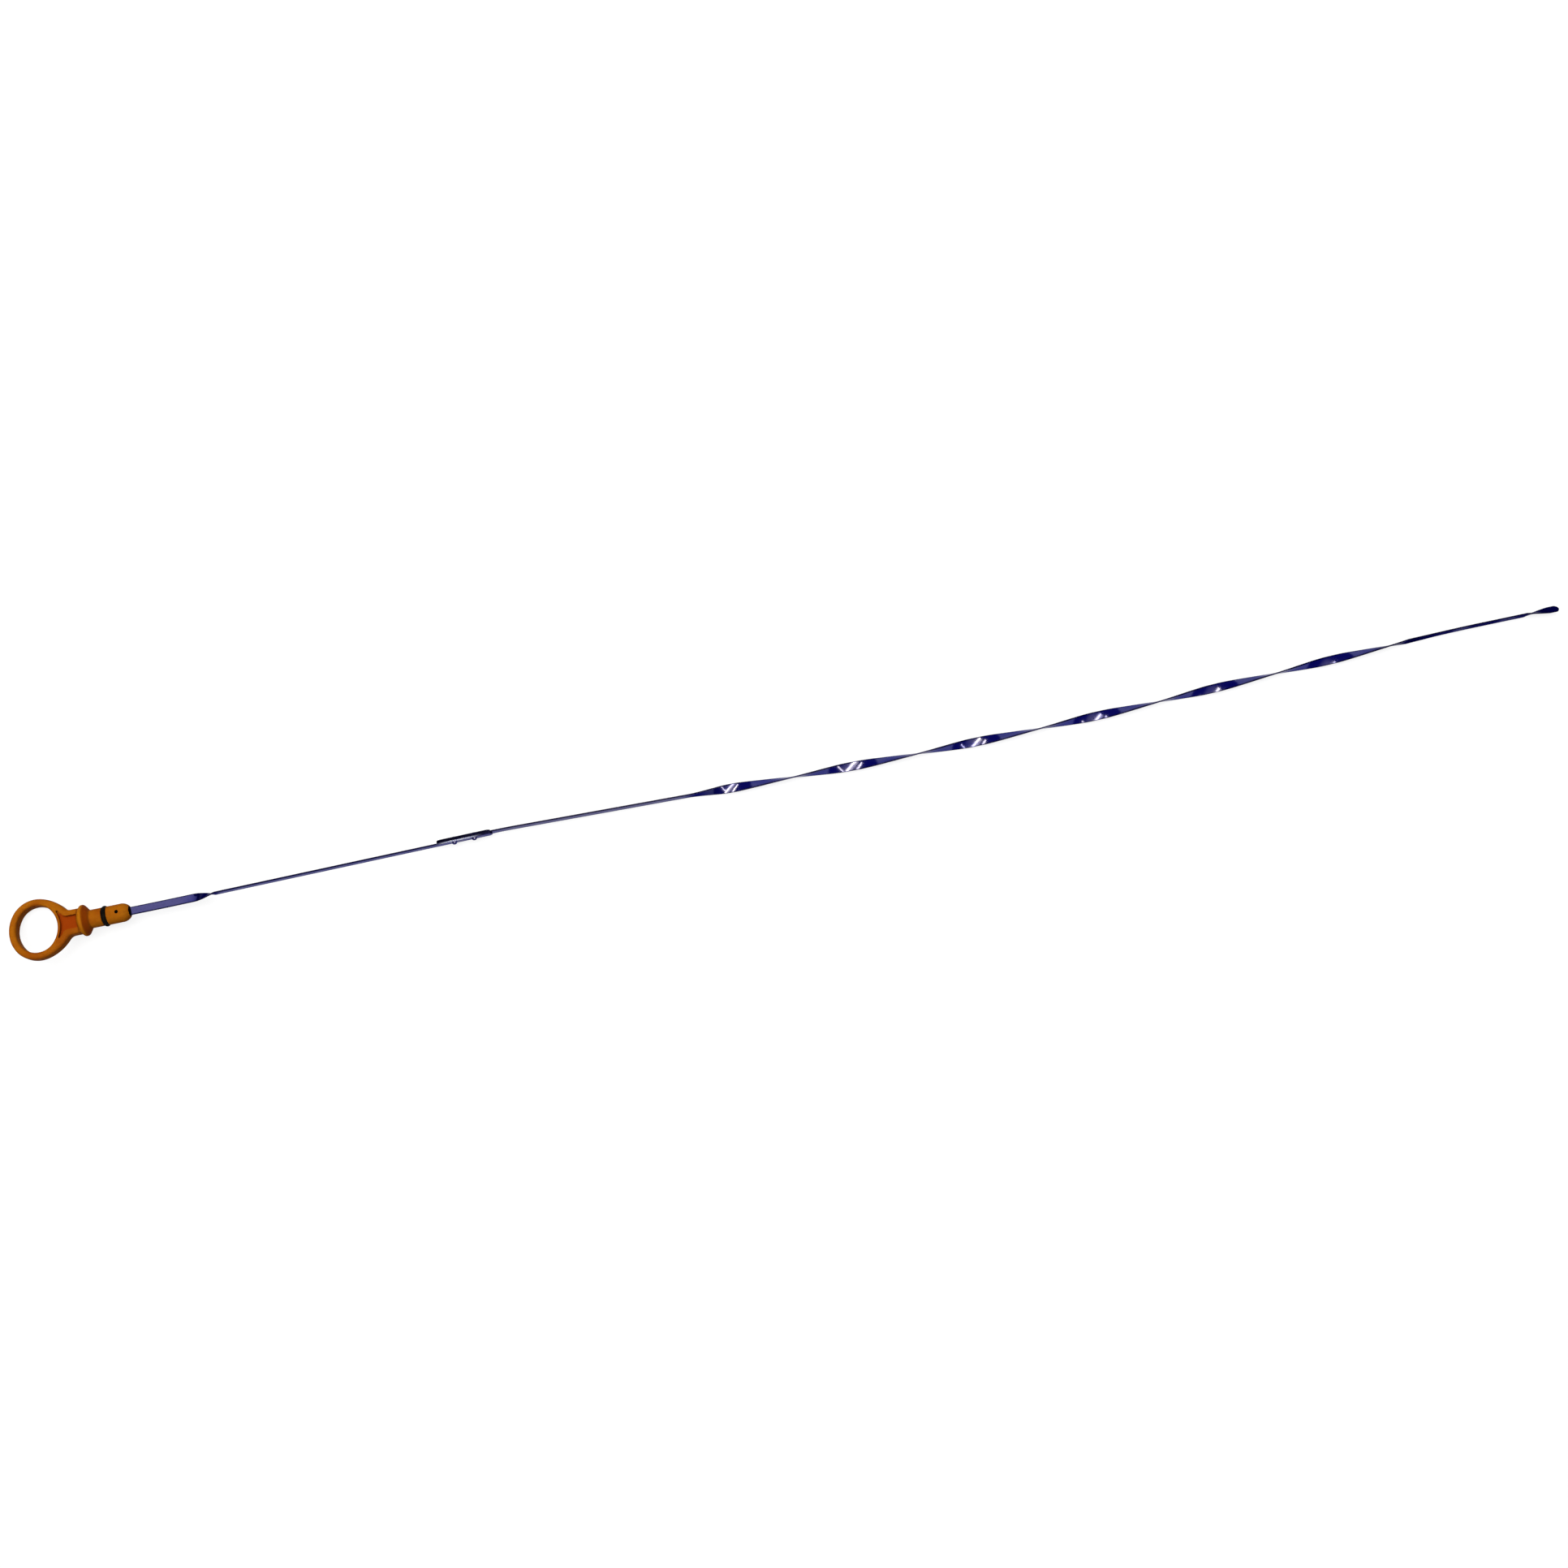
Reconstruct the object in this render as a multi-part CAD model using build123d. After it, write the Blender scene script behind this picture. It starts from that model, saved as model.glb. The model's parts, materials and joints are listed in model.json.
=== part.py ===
from build123d import *
import os
from math import asin, atan2, ceil, cos, degrees, hypot, radians, sin, tan

# Engine oil dipstick, lying on a flat surface on its collar, the edge of its finger ring and its blade.
# Millimetres. +X runs along the plug axis from the ring to the tip of the blade, and +Z is up.
# The origin is on the plug axis, where the seating cone of the collar meets the stem.

# Finger ring: an oval of four arcs with rounded edges. Its end arcs are tighter than half its length.
RING_LENGTH = 29.5
RING_WIDTH = 33.6
RING_END_INSET = 0.95
RING_BAND = 3.8
RING_THICKNESS = 7.2
RING_CENTRE_TO_SEAT = 27.95
RING_EDGE_ROUND = 1.8
RING_HOLE_ROUND = 1.4

# Neck from the ring to the collar, with a sunk panel in both faces
NECK_WIDTH = 14.0
NECK_SHOULDER_LENGTH = 1.8
NECK_CORNER_ROUND = 4.0
NECK_SHOULDER_ANGLE = 76.0
PANEL_RIB = 3.2
PANEL_RIM = 1.6
PANEL_WEB = 3.0
PANEL_CORNER_ROUND = 0.6

# Collar that seats on the mouth of the dipstick tube
COLLAR_DIAMETER = 17.4
COLLAR_BACK_DIAMETER = 12.4
COLLAR_BACK_TO_CREST = 2.5
COLLAR_CREST_TO_SEAT = 3.4
COLLAR_CREST_LAND = 1.4
COLLAR_CREST_ROUND = 1.2
# Least share of the crest's land that stays flat between its two rounds
CREST_FLAT_SHARE = 0.05

# Plug: stem, seal groove and nose
STEM_DIAMETER = 10.2
NOSE_DIAMETER = 10.3
PLUG_LENGTH = 20.8
NOSE_ROUND_LENGTH = 4.0
NOSE_END_DIAMETER = 6.4
MOUTH_LIP = 0.45
MOUTH_DEPTH = 2.5
LOCATING_HOLE_DIAMETER = 1.9
LOCATING_HOLE_TO_SEAT = 15.1

# Seal ring in its groove
SEAL_SECTION = 2.4
SEAL_OUTER_DIAMETER = 11.6
SEAL_CENTRE_TO_SEAT = 8.0
GROOVE_SIDE_CLEARANCE = 0.2
GROOVE_FLOOR_CLEARANCE = 0.02

# Upper blade: flat in the plug, turned on edge by a quarter turn, on edge to the lap
UPPER_WIDTH = 4.5
UPPER_THICKNESS = 0.9
ROOT_TO_SEAT = 4.0
ROOT_CLEARANCE = 0.02
FLAT_RUN = 34.6
QUARTER_TWIST_LENGTH = 11.0
UPPER_EDGE_RUN = 123.1

# Lap joint: the two blades side by side, the lower one folded double, held by two rivets
LAP_LENGTH = 31.5
FOLD_LENGTH = 30.5
RIVET_MARGIN = 9.9
RIVET_SPACING = 11.2
RIVET_SHANK_DIAMETER = 1.8
RIVET_HOLE_CLEARANCE = 0.02
RIVET_HEAD_DIAMETER = 3.4
RIVET_HEAD_HEIGHT = 1.4
RIVET_TAIL_DIAMETER = 2.6
RIVET_TAIL_HEIGHT = 0.4

# Lower blade: on edge, three left-handed turns after a slow lead-in, a slight spring back,
# the measuring run, then the tip, turned back
LOWER_WIDTH = 5.2
LOWER_THICKNESS = 0.85
LOWER_EDGE_RUN = 113.0
LEAD_IN_LENGTH = 31.0
FIRST_FLAT_FROM_TWIST = 21.6
TURNS_RUN = 418.5
TURN_LENGTH = 150.14
SPRING_BACK_RUN = 22.0
SPRING_BACK = 6.0
MEASURING_RUN = 57.0
FIRST_MARK_IN_RUN = 13.5
MARK_SPACING = 31.4
MARK_DIAMETER = 1.5
TIP_TWIST_LENGTH = 15.5
TIP_TURN = 60.0
TIP_LENGTH = 6.7
# Power with which the twist gathers pace over its lead-in
LEAD_IN_GATHER = 1.65
# Most degrees by which the turns run ahead of an even twist, between standing on edge and lying flat
TURN_LEAD = 8.9

# Lie of the springy blades, which sag to the surface and bow sideways, with headings in degrees
SAG_CORNER_FROM_NOSE = 18.8
SAG_ROUND = 1100.0
SAG_HEADING = 0.55
TOUCH_CORNER_FROM_TWIST = 6.2
TOUCH_ROUND = 2900.0
LAP_CORNER_FROM_LAP = 6.5
LAP_CORNER_ROUND = 350.0
LAP_CORNER_HEADING = -1.42
BOW_CORNER_FROM_TWIST = 189.8
BOW_ROUND = 4200.0
BOW_HEADING = 1.99
END_CORNER_FROM_TURNS = 30.0
END_ROUND = 1110.0
END_HEADING = 0.34

# Spacing of the sections that the blades are lofted through, along a run and in degrees of a twist
RUN_STEP = 15.0
TWIST_STEP = 18.0
# Stretches that the turns are lofted in
TURN_STRETCHES = 3

QUARTER_TURN = 90.0
HALF_TURN = 180.0
FULL_TURN = 360.0

# Two places along X closer than this are the same place
SAME_PLACE = 0.01

ring_end_radius = RING_LENGTH / 2 - RING_END_INSET
ring_end_y = RING_WIDTH / 2 - ring_end_radius

# Places along X
ring_x = -RING_CENTRE_TO_SEAT
crest_x = -COLLAR_CREST_TO_SEAT
collar_back_x = crest_x - COLLAR_BACK_TO_CREST
neck_corner_x = ring_x + RING_LENGTH / 2 + NECK_SHOULDER_LENGTH
mouth_floor_x = PLUG_LENGTH - MOUTH_DEPTH
flat_end_x = PLUG_LENGTH + FLAT_RUN
upper_edge_x = flat_end_x + QUARTER_TWIST_LENGTH
lap_start_x = upper_edge_x + UPPER_EDGE_RUN
lap_end_x = lap_start_x + LAP_LENGTH
twist_start_x = lap_end_x + LOWER_EDGE_RUN
turns_start_x = twist_start_x + LEAD_IN_LENGTH
first_flat_x = twist_start_x + FIRST_FLAT_FROM_TWIST
turns_end_x = turns_start_x + TURNS_RUN
measuring_start_x = turns_end_x + SPRING_BACK_RUN
measuring_end_x = measuring_start_x + MEASURING_RUN
tip_start_x = measuring_end_x + TIP_TWIST_LENGTH
tip_end_x = tip_start_x + TIP_LENGTH

# The dipstick leans about the plug axis until the ring's rounded edge is as low as the collar
edge_out = RING_WIDTH / 2 - RING_EDGE_ROUND
edge_up = RING_THICKNESS / 2 - RING_EDGE_ROUND
edge_drop = COLLAR_DIAMETER / 2 - RING_EDGE_ROUND
lean = -degrees(asin(edge_drop / hypot(edge_out, edge_up)) - atan2(edge_up, edge_out))

# The blade sags from the plug axis, at the collar's radius, until its turning edges touch the surface
sag_x = PLUG_LENGTH + SAG_CORNER_FROM_NOSE
touch_x = twist_start_x + TOUCH_CORNER_FROM_TWIST
sag_depth = (COLLAR_DIAMETER - hypot(LOWER_WIDTH, LOWER_THICKNESS)) / 2
sag_slope = sag_depth / (touch_x - sag_x)


def sideways(start, end, heading):
    return (end - start) * tan(radians(heading))


def across(path, x, roll=0.0):
    """Plane across a blade: local x is its thickness, local y its width, local z runs along it.

    At no roll the blade stands on edge, square to the leaning finger ring.
    """
    length = x - path.position_at(0).X
    position = path.position_at(length, PositionMode.LENGTH)
    along = path.tangent_at(length, PositionMode.LENGTH)
    level = Vector(0, 0, 1).cross(along)
    return Plane(origin=position, x_dir=level.rotate(Axis((0, 0, 0), along), lean + roll), z_dir=along)


# Centre line of the upper blade, from its root in the plug to the end of the lap
upper_path = FilletPolyline(
    (ROOT_TO_SEAT, 0, 0),
    (sag_x, 0, 0),
    (lap_end_x, sideways(sag_x, lap_end_x, SAG_HEADING), -sag_slope * (lap_end_x - sag_x)),
    radius=[SAG_ROUND],
)

# Centre line of the lower blade, from the start of the lap, beside the upper blade, to the tip
lap_plane = across(upper_path, lap_start_x)
lap_start = lap_plane.origin + lap_plane.x_dir * (UPPER_THICKNESS + LOWER_THICKNESS) / 2
lap_corner = lap_start + lap_plane.z_dir * (LAP_LENGTH + LAP_CORNER_FROM_LAP)
bow_x = twist_start_x + BOW_CORNER_FROM_TWIST
end_x = turns_end_x + END_CORNER_FROM_TURNS
touch_y = lap_corner.Y + sideways(lap_corner.X, touch_x, LAP_CORNER_HEADING)
bow_y = touch_y + sideways(touch_x, bow_x, LAP_CORNER_HEADING)
end_y = bow_y + sideways(bow_x, end_x, BOW_HEADING)
tip_y = end_y + sideways(end_x, tip_end_x, END_HEADING)
lower_path = FilletPolyline(
    lap_start,
    lap_corner,
    (touch_x, touch_y, -sag_depth),
    (bow_x, bow_y, -sag_depth),
    (end_x, end_y, -sag_depth),
    (tip_end_x, tip_y, -sag_depth),
    radius=[LAP_CORNER_ROUND, TOUCH_ROUND, BOW_ROUND, END_ROUND],
)


def held(roll):
    """Roll that stays the same along a stretch."""
    return lambda x: roll


def turning(start, end, roll_start, roll_end):
    """Roll that goes evenly from one angle to another."""
    return lambda x: roll_start + (roll_end - roll_start) * (x - start) / (end - start)


def turns_roll(x):
    """Roll along the turns, which go faster where the blade lies flat than where it stands on edge."""
    even = -QUARTER_TURN - lean - FULL_TURN * (x - first_flat_x) / TURN_LENGTH
    return even - TURN_LEAD * sin(2 * radians(even + lean))


def lead_in_roll(x):
    """Roll along the lead-in, from standing on edge to the first of the turns."""
    return turns_roll(turns_start_x) * ((x - twist_start_x) / LEAD_IN_LENGTH) ** LEAD_IN_GATHER


def strip(path, start, end, roll_at, thickness, width):
    """Stretch of a blade along its path, turned about it as roll_at gives."""
    turned = abs(roll_at(end) - roll_at(start))
    count = max(ceil((end - start) / RUN_STEP), ceil(turned / TWIST_STEP))
    sections = []
    for i in range(count + 1):
        x = start + (end - start) * i / count
        sections.append(across(path, x, roll_at(x)) * Rectangle(thickness, width))
    return loft(sections)


def tongue(path, x, heading, length, roll, thickness, width):
    """Straight end of a blade with a fully rounded outline."""
    plane = across(path, x, roll)
    flat = Plane(origin=plane.origin, x_dir=plane.z_dir * heading, z_dir=plane.x_dir)
    straight = length - width / 2
    outline = Rectangle(straight, width, align=(Align.MIN, Align.CENTER))
    outline += Pos(straight, 0) * Circle(width / 2)
    return extrude(flat * outline, amount=thickness / 2, both=True)


def fold():
    """End of the lower blade, doubled flat against its back along the lap."""
    plane = across(lower_path, lap_end_x)
    middle = plane.origin - plane.z_dir * (LAP_LENGTH - FOLD_LENGTH / 2) + plane.x_dir * LOWER_THICKNESS
    flat = Plane(origin=middle, x_dir=plane.z_dir, z_dir=plane.x_dir)
    return extrude(flat * SlotOverall(FOLD_LENGTH, LOWER_WIDTH), amount=LOWER_THICKNESS / 2, both=True)


def cross_hole(path, x, diameter, depth, roll=0.0):
    """Cutter for a round hole through the wide face of a blade."""
    plane = across(path, x, roll)
    return Plane(origin=plane.origin, x_dir=plane.z_dir, z_dir=plane.x_dir) * Cylinder(diameter / 2, depth)


def oval(grow):
    """Face of the ring's outline, grown outwards: four arcs that meet smoothly."""
    half_length = RING_LENGTH / 2 + grow
    end_radius = ring_end_radius + grow
    side_radius = (half_length**2 + ring_end_y**2 - end_radius**2) / (2 * RING_END_INSET)
    side_x = side_radius - half_length
    join = degrees(atan2(ring_end_y, side_x))
    arcs = [
        CenterArc((-side_x, 0), side_radius, -join, 2 * join),
        CenterArc((0, ring_end_y), end_radius, join, HALF_TURN - 2 * join),
        CenterArc((side_x, 0), side_radius, HALF_TURN - join, 2 * join),
        CenterArc((0, -ring_end_y), end_radius, HALF_TURN + join, HALF_TURN - 2 * join),
    ]
    return Pos(ring_x, 0) * make_face(arcs)


def neck(end_x):
    """Face of the neck: shoulders that leave the ring smoothly, then straight sides to end_x."""
    angle = radians(NECK_SHOULDER_ANGLE)
    touch_x = ring_x + ring_end_radius * cos(angle)
    touch = Vector(touch_x, ring_end_y + ring_end_radius * sin(angle))
    corner = Vector(neck_corner_x, NECK_WIDTH / 2)
    end = Vector(end_x, NECK_WIDTH / 2)
    shoulder = TangentArc(touch, corner, tangent=(sin(angle), -cos(angle)))
    upper_half = make_face(
        [shoulder, Polyline(corner, end, (end_x, 0), (touch_x, 0), touch)]
    )
    return upper_half + mirror(upper_half, about=Plane.XZ)


def ring_and_neck():
    plan = oval(0) + neck(crest_x)
    corners = [v for v in plan.vertices() if abs(v.X - neck_corner_x) < SAME_PLACE]
    plan = fillet(corners, NECK_CORNER_ROUND)
    body = extrude(plan, amount=RING_THICKNESS / 2, both=True)
    rims = body.edges().filter_by(Plane.XY).filter_by(lambda e: e.center().X < crest_x - SAME_PLACE)
    body = fillet(rims, RING_EDGE_ROUND)

    # Finger hole
    hole = Pos(0, 0, -RING_THICKNESS) * oval(-RING_BAND)
    before = body.edges()
    body -= extrude(hole, amount=2 * RING_THICKNESS)
    body = fillet((body.edges() - before).filter_by(Plane.XY), RING_HOLE_ROUND)

    # Sunk panels, bounded by the ribs, the rim of the finger hole and the collar
    panel = offset(neck(collar_back_x + PANEL_RIB), amount=-PANEL_RIB) - oval(PANEL_RIM - RING_BAND)
    panel = offset(offset(panel, amount=-PANEL_CORNER_ROUND), amount=PANEL_CORNER_ROUND)
    depth = (RING_THICKNESS - PANEL_WEB) / 2
    for side in (1, -1):
        body -= Pos(0, 0, side * RING_THICKNESS / 2) * extrude(panel, amount=-side * depth)
    return body


def crest_round():
    """Radius of the rounds on the collar's crest, as far as the land between them has room."""
    back_run = COLLAR_BACK_TO_CREST - COLLAR_CREST_LAND / 2
    seat_run = COLLAR_CREST_TO_SEAT - COLLAR_CREST_LAND / 2
    back_turn = atan2((COLLAR_DIAMETER - COLLAR_BACK_DIAMETER) / 2, back_run)
    seat_turn = atan2((COLLAR_DIAMETER - STEM_DIAMETER) / 2, seat_run)
    room = COLLAR_CREST_LAND * (1 - CREST_FLAT_SHARE)
    return min(COLLAR_CREST_ROUND, room / (tan(back_turn / 2) + tan(seat_turn / 2)))


def plug():
    groove_half = SEAL_SECTION / 2 + GROOVE_SIDE_CLEARANCE
    groove_floor = SEAL_OUTER_DIAMETER / 2 - SEAL_SECTION - GROOVE_FLOOR_CLEARANCE
    mouth_radius = NOSE_END_DIAMETER / 2 - MOUTH_LIP
    barrel = Polyline(
        (mouth_floor_x, 0),
        (collar_back_x, 0),
        (collar_back_x, COLLAR_BACK_DIAMETER / 2),
        (crest_x - COLLAR_CREST_LAND / 2, COLLAR_DIAMETER / 2),
        (crest_x + COLLAR_CREST_LAND / 2, COLLAR_DIAMETER / 2),
        (0, STEM_DIAMETER / 2),
        (SEAL_CENTRE_TO_SEAT - groove_half, STEM_DIAMETER / 2),
        (SEAL_CENTRE_TO_SEAT - groove_half, groove_floor),
        (SEAL_CENTRE_TO_SEAT + groove_half, groove_floor),
        (SEAL_CENTRE_TO_SEAT + groove_half, NOSE_DIAMETER / 2),
        (PLUG_LENGTH - NOSE_ROUND_LENGTH, NOSE_DIAMETER / 2),
    )
    nose = TangentArc(barrel @ 1, (PLUG_LENGTH, NOSE_END_DIAMETER / 2), tangent=(1, 0))
    mouth = Polyline(
        (PLUG_LENGTH, NOSE_END_DIAMETER / 2),
        (PLUG_LENGTH, mouth_radius),
        (mouth_floor_x, mouth_radius),
        (mouth_floor_x, 0),
    )
    profile = make_face([barrel, nose, mouth])
    crest = profile.vertices().sort_by(Axis.Y)[-2:]
    profile = fillet(crest, crest_round())
    return revolve(profile, Axis.X)


def root_slot():
    """Space that the moulded plug leaves for the root of the upper blade."""
    length = mouth_floor_x - ROOT_TO_SEAT + ROOT_CLEARANCE
    return Pos(ROOT_TO_SEAT - ROOT_CLEARANCE, 0, 0) * Box(
        length,
        UPPER_WIDTH + 2 * ROOT_CLEARANCE,
        UPPER_THICKNESS + 2 * ROOT_CLEARANCE,
        align=(Align.MIN, Align.CENTER, Align.CENTER),
    )


def locating_hole():
    return Pos(LOCATING_HOLE_TO_SEAT, 0, 0) * Cylinder(LOCATING_HOLE_DIAMETER / 2, NOSE_DIAMETER)


def rivet(x):
    """Round-head rivet through both blades, with its head on the upper blade."""
    grip = UPPER_THICKNESS + 2 * LOWER_THICKNESS
    dome = TangentArc((0, -RIVET_HEAD_HEIGHT), (RIVET_HEAD_DIAMETER / 2, 0), tangent=(1, 0))
    rest = Polyline(
        (RIVET_HEAD_DIAMETER / 2, 0),
        (RIVET_SHANK_DIAMETER / 2, 0),
        (RIVET_SHANK_DIAMETER / 2, grip),
        (RIVET_TAIL_DIAMETER / 2, grip),
        (RIVET_TAIL_DIAMETER / 2, grip + RIVET_TAIL_HEIGHT),
        (0, grip + RIVET_TAIL_HEIGHT),
        (0, -RIVET_HEAD_HEIGHT),
    )
    solid = revolve(make_face([dome, rest]), Axis.Y)
    plane = across(upper_path, x)
    front = plane.origin - plane.x_dir * UPPER_THICKNESS / 2
    return Plane(origin=front, x_dir=plane.z_dir, z_dir=plane.y_dir) * solid


rivet_places = [lap_start_x + RIVET_MARGIN, lap_start_x + RIVET_MARGIN + RIVET_SPACING]
rivet_hole = RIVET_SHANK_DIAMETER + 2 * RIVET_HOLE_CLEARANCE

# One moulding: ring, neck, collar and plug
handle = ring_and_neck() + plug()
handle -= root_slot()
handle -= locating_hole()
handle = Rot(lean, 0, 0) * handle

# Seal ring
seal_radius = (SEAL_OUTER_DIAMETER - SEAL_SECTION) / 2
o_ring = Pos(SEAL_CENTRE_TO_SEAT, 0, 0) * Rot(0, QUARTER_TURN, 0) * Torus(seal_radius, SEAL_SECTION / 2)

# Upper blade
upper_blade = strip(
    upper_path, ROOT_TO_SEAT, flat_end_x, held(QUARTER_TURN), UPPER_THICKNESS, UPPER_WIDTH
)
upper_blade += strip(
    upper_path, flat_end_x, upper_edge_x, turning(flat_end_x, upper_edge_x, QUARTER_TURN, 0),
    UPPER_THICKNESS, UPPER_WIDTH,
)
upper_blade += tongue(
    upper_path, upper_edge_x, 1, lap_end_x - upper_edge_x, 0, UPPER_THICKNESS, UPPER_WIDTH
)
upper_blade -= Rot(lean, 0, 0) * locating_hole()

# Lower blade
stretch = TURNS_RUN / TURN_STRETCHES
turns_end_roll = turns_roll(turns_end_x)
measuring_roll = turns_end_roll + SPRING_BACK
tip_roll = measuring_roll + TIP_TURN
springing_back = turning(turns_end_x, measuring_start_x, turns_end_roll, measuring_roll)
turning_back = turning(measuring_end_x, tip_start_x, measuring_roll, tip_roll)
runs = [
    (lap_end_x, twist_start_x, held(0)),
    (twist_start_x, turns_start_x, lead_in_roll),
    *[
        (turns_start_x + i * stretch, turns_start_x + (i + 1) * stretch, turns_roll)
        for i in range(TURN_STRETCHES)
    ],
    (turns_end_x, measuring_start_x, springing_back),
    (measuring_start_x, measuring_end_x, held(measuring_roll)),
    (measuring_end_x, tip_start_x, turning_back),
]
lower_blade = tongue(lower_path, lap_end_x, -1, LAP_LENGTH, 0, LOWER_THICKNESS, LOWER_WIDTH)
lower_blade += fold()
for run_start, run_end, roll_at in runs:
    lower_blade += strip(lower_path, run_start, run_end, roll_at, LOWER_THICKNESS, LOWER_WIDTH)
lower_blade += tongue(lower_path, tip_start_x, 1, TIP_LENGTH, tip_roll, LOWER_THICKNESS, LOWER_WIDTH)
first_mark_x = measuring_start_x + FIRST_MARK_IN_RUN
for mark_x in (first_mark_x, first_mark_x + MARK_SPACING):
    lower_blade -= cross_hole(lower_path, mark_x, MARK_DIAMETER, LOWER_WIDTH, measuring_roll)

# Rivets and their holes
for place in rivet_places:
    hole = cross_hole(upper_path, place, rivet_hole, LOWER_WIDTH)
    upper_blade -= hole
    lower_blade -= hole
lap_rivets = Compound([rivet(place) for place in rivet_places])

os.makedirs("parts", exist_ok=True)
export_step(handle, "parts/handle.step")
export_step(o_ring, "parts/o_ring.step")
export_step(upper_blade, "parts/upper_blade.step")
export_step(lower_blade, "parts/lower_blade.step")
export_step(lap_rivets, "parts/lap_rivets.step")
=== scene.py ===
import json
import math

import bpy
from mathutils import Matrix, Vector

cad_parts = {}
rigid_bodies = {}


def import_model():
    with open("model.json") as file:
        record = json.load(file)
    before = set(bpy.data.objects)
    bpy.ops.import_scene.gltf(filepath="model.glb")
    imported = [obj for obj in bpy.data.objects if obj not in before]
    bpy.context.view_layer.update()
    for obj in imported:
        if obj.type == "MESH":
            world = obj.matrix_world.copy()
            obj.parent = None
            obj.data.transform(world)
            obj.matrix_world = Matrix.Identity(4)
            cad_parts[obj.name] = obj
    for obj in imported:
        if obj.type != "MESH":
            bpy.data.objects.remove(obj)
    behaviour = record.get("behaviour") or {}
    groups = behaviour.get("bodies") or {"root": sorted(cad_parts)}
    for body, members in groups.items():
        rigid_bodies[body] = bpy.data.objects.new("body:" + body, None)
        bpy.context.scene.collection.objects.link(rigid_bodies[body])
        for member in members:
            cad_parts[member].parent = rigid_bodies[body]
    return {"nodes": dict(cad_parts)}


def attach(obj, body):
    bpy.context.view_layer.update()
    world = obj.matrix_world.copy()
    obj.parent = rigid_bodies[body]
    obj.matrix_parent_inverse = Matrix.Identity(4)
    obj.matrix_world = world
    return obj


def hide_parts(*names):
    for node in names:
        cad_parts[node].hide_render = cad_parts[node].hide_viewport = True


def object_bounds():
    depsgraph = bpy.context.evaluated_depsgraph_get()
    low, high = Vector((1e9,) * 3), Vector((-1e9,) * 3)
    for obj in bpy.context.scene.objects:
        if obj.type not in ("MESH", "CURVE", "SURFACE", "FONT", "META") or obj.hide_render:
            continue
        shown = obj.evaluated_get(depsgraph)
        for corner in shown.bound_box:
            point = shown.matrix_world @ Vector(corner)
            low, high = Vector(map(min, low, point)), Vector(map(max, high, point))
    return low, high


for leftover in list(bpy.data.objects):
    bpy.data.objects.remove(leftover)

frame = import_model()
cad_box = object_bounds()

MM = 0.001

# The dipstick leans about its plug axis as it lies, so the handle's own level turns with it
LEAN = math.radians(-20.3331)

# Routes of the blades, as corners in millimetres, each with the radius that rounds it
UPPER_ROUTE = (
    (4.0, 0.0, 0.0, 0.0),
    (39.6, 0.0, 0.0, 1100.0),
    (221.0, 1.741368, -3.660281, 0.0),
)
LOWER_ROUTE = (
    (189.449604, 2.259012, -3.327922, 0.0),
    (227.440121, 2.623706, -4.094493, 350.0),
    (340.2, -0.171470, -6.065493, 2900.0),
    (523.8, -4.722685, -6.065493, 4200.0),
    (813.5, 5.343238, -6.065493, 1110.0),
    (884.475, 5.764465, -6.065493, 0.0),
)
FOLD_ROUTE = (
    (189.486379, 3.056437, -3.624234, 0.0),
    (219.978767, 3.349152, -4.239509, 0.0),
)

# Sections of the blades in millimetres
UPPER_WIDTH = 4.5
UPPER_THICKNESS = 0.9
LOWER_WIDTH = 5.2
LOWER_THICKNESS = 0.85
EDGE_CHAMFER = 0.12

# Upper blade: the hole in its root and its quarter turn, as distances along it in millimetres
ROOT_HOLE = 11.1
ROOT_HOLE_RADIUS = 0.95
QUARTER_START = 51.4
QUARTER_END = 62.4
QUARTER_TURN = math.radians(-90)

# Twist of the lower blade: distances along it in millimetres, turns in degrees
TWIST_START = 144.5504
TURNS_START = 175.5504
TURNS_END = 594.0504
FIRST_FLAT = 166.1504
TURN_LENGTH = 150.14
TURN_LEAD = 8.9
LEAD_IN_GATHER = 1.65
MEASURING_START = 616.0504
MEASURING_END = 673.0504
TIP_START = 688.5504
SPRING_BACK = 6.0
TIP_TURN = 60.0

# Places of the level marks along the lower blade
FIRST_MARK = 629.5504
MARK_SPACING = 31.4
MARK_RADIUS = 0.75

# How finely the blades are swept, in millimetres and counts
SWEEP_STEP = 0.3
CORNER_STEPS = 48
WIDE_SIDE_CUTS = 7.0
DRILL_SIDES = 40
DRILL_DEPTH = 4.0
CRISP_ANGLE = math.radians(28)

# Rounded ends stop just short of a point, so that their last section keeps some width
END_INSET = 0.001
LEAST_ROUND = 0.000001
BLUNT_END = 1.0004


# Small helpers for node trees

def add(tree, kind, inputs=None, **settings):
    """A node with its settings and input values; an input that is a socket is linked."""
    made = tree.nodes.new(kind)
    for key, value in settings.items():
        setattr(made, key, value)
    for key, value in (inputs or {}).items():
        socket = made.inputs[key]
        if isinstance(value, bpy.types.NodeSocket):
            tree.links.new(value, socket)
        else:
            socket.default_value = value
    return made


def math_node(tree, operation, *values, clamp=False):
    """One step of arithmetic."""
    sockets = dict(enumerate(values))
    return add(tree, "ShaderNodeMath", sockets, operation=operation, use_clamp=clamp).outputs[0]


def product(tree, *shares):
    """Shares multiplied together, from the first to the last."""
    whole = shares[0]
    for share in shares[1:]:
        whole = math_node(tree, "MULTIPLY", whole, share)
    return whole


def distance(tree, first, second):
    """Length of the long side of a right triangle, from its two short sides."""
    squares = [math_node(tree, "POWER", side, 2.0) for side in (first, second)]
    return math_node(tree, "SQRT", math_node(tree, "ADD", *squares))


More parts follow.
